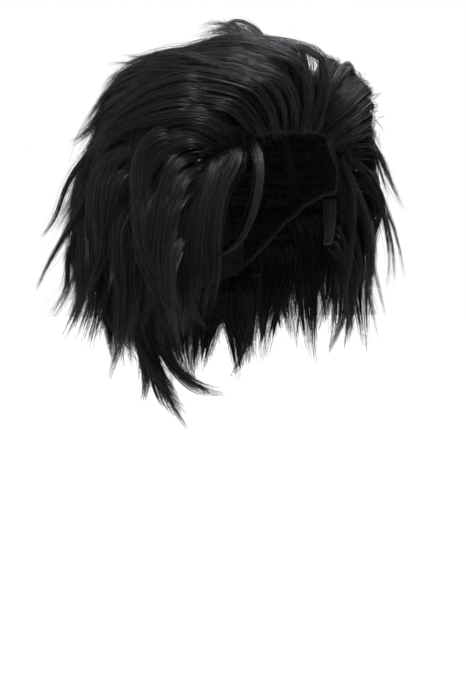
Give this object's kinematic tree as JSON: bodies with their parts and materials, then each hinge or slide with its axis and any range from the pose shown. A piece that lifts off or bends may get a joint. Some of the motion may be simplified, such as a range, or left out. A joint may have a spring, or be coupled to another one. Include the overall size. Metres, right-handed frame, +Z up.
{
  "type": "costume wig",
  "caption": "Short shaggy near-black costume wig, brushed up off the hairline, on a stretch net cap with cheek tabs and nape adjusters.",
  "frame": {"origin": "inside of the crown, where the top of the head rests in the cap", "axes": "+Z up, -Y the way the wearer faces, +X the wearer's left"},
  "size_m": [0.2512, 0.2379, 0.3238],
  "materials": {
    "hair": "glossy synthetic fibre, near black with a cool sheen",
    "net": "matt stretch net",
    "elastic": "matt ribbed elastic",
    "velvet": "soft brushed binding",
    "plastic": "smooth black nylon",
    "label": "blank woven satin"
  },
  "bodies": {
    "cap": {"front_hair_right": "hair", "front_hair_center": "hair", "front_hair_left": "hair", "crown_hair": "hair", "left_upper_hair": "hair", "back_upper_hair": "hair", "right_upper_hair": "hair", "left_middle_hair": "hair", "back_middle_hair": "hair", "right_middle_hair": "hair", "left_lower_hair": "hair", "back_lower_hair": "hair", "right_lower_hair": "hair", "left_collar_hair": "hair", "right_collar_hair": "hair", "left_nape_hair": "hair", "center_nape_hair": "hair", "right_nape_hair": "hair", "left_temple_hair": "hair", "right_temple_hair": "hair", "nape_flick": "hair", "crest_lock": "hair", "right_flick": "hair", "right_upper_flick": "hair", "left_flick": "hair", "crown_net": "net", "crown_patch": "net", "nape_band": "elastic", "right_ear_band": "elastic", "left_ear_band": "elastic", "center_rib": "elastic", "right_back_rib": "elastic", "left_back_rib": "elastic", "right_side_rib": "elastic", "left_side_rib": "elastic", "upper_weft_track": "elastic", "middle_weft_track": "elastic", "lower_weft_track": "elastic", "collar_weft_track": "elastic", "nape_weft_track": "elastic", "right_loop_tape": "elastic", "left_loop_tape": "elastic", "front_band": "velvet", "front_lining": "velvet", "nape_lining": "velvet", "care_label": "label"},
    "right_forelock": {"right_forelock": "hair"},
    "left_forelock": {"left_forelock": "hair"},
    "right_cheek_tab": {"right_cheek_tab": "velvet", "right_tab_stay": "plastic", "right_cheek_hair": "hair", "right_sidelock": "hair"},
    "left_cheek_tab": {"left_cheek_tab": "velvet", "left_tab_stay": "plastic", "left_cheek_hair": "hair"},
    "right_adjuster": {"right_adjuster_strap": "elastic", "right_adjuster_hook": "plastic"},
    "left_adjuster": {"left_adjuster_strap": "elastic", "left_adjuster_hook": "plastic"}
  },
  "joints": [
    {"name": "right_forelock_swing", "type": "hinge", "parent": "cap", "child": "right_forelock", "pos_m": [-0.04317, -0.07185, -0.05056], "axis": [-0.8572, 0.515, 0], "range_deg": [-6, 35], "stiffness_Nm_per_rad": 0.02},
    {"name": "left_forelock_swing", "type": "hinge", "parent": "cap", "child": "left_forelock", "pos_m": [0.05685, -0.06096, -0.05688], "axis": [-0.7314, -0.682, 0], "range_deg": [-6, 35], "stiffness_Nm_per_rad": 0.02},
    {"name": "right_cheek_tab_bend", "type": "hinge", "parent": "cap", "child": "right_cheek_tab", "pos_m": [-0.07491, -0.02726, -0.09309], "axis": [-0.342, 0.9397, 0], "range_deg": [0, 18]},
    {"name": "left_cheek_tab_bend", "type": "hinge", "parent": "cap", "child": "left_cheek_tab", "pos_m": [0.07491, -0.02726, -0.09309], "axis": [-0.342, -0.9397, 0], "range_deg": [0, 18]},
    {"name": "right_adjuster_slide", "type": "hinge", "parent": "cap", "child": "right_adjuster", "pos_m": [0, 0.03173, -0.154], "axis": [0, 0, -1], "range_deg": [0, 8]},
    {"name": "left_adjuster_slide", "type": "hinge", "parent": "cap", "child": "left_adjuster", "pos_m": [0, 0.03173, -0.154], "axis": [0, 0, 1], "range_deg": [0, 8]}
  ]
}
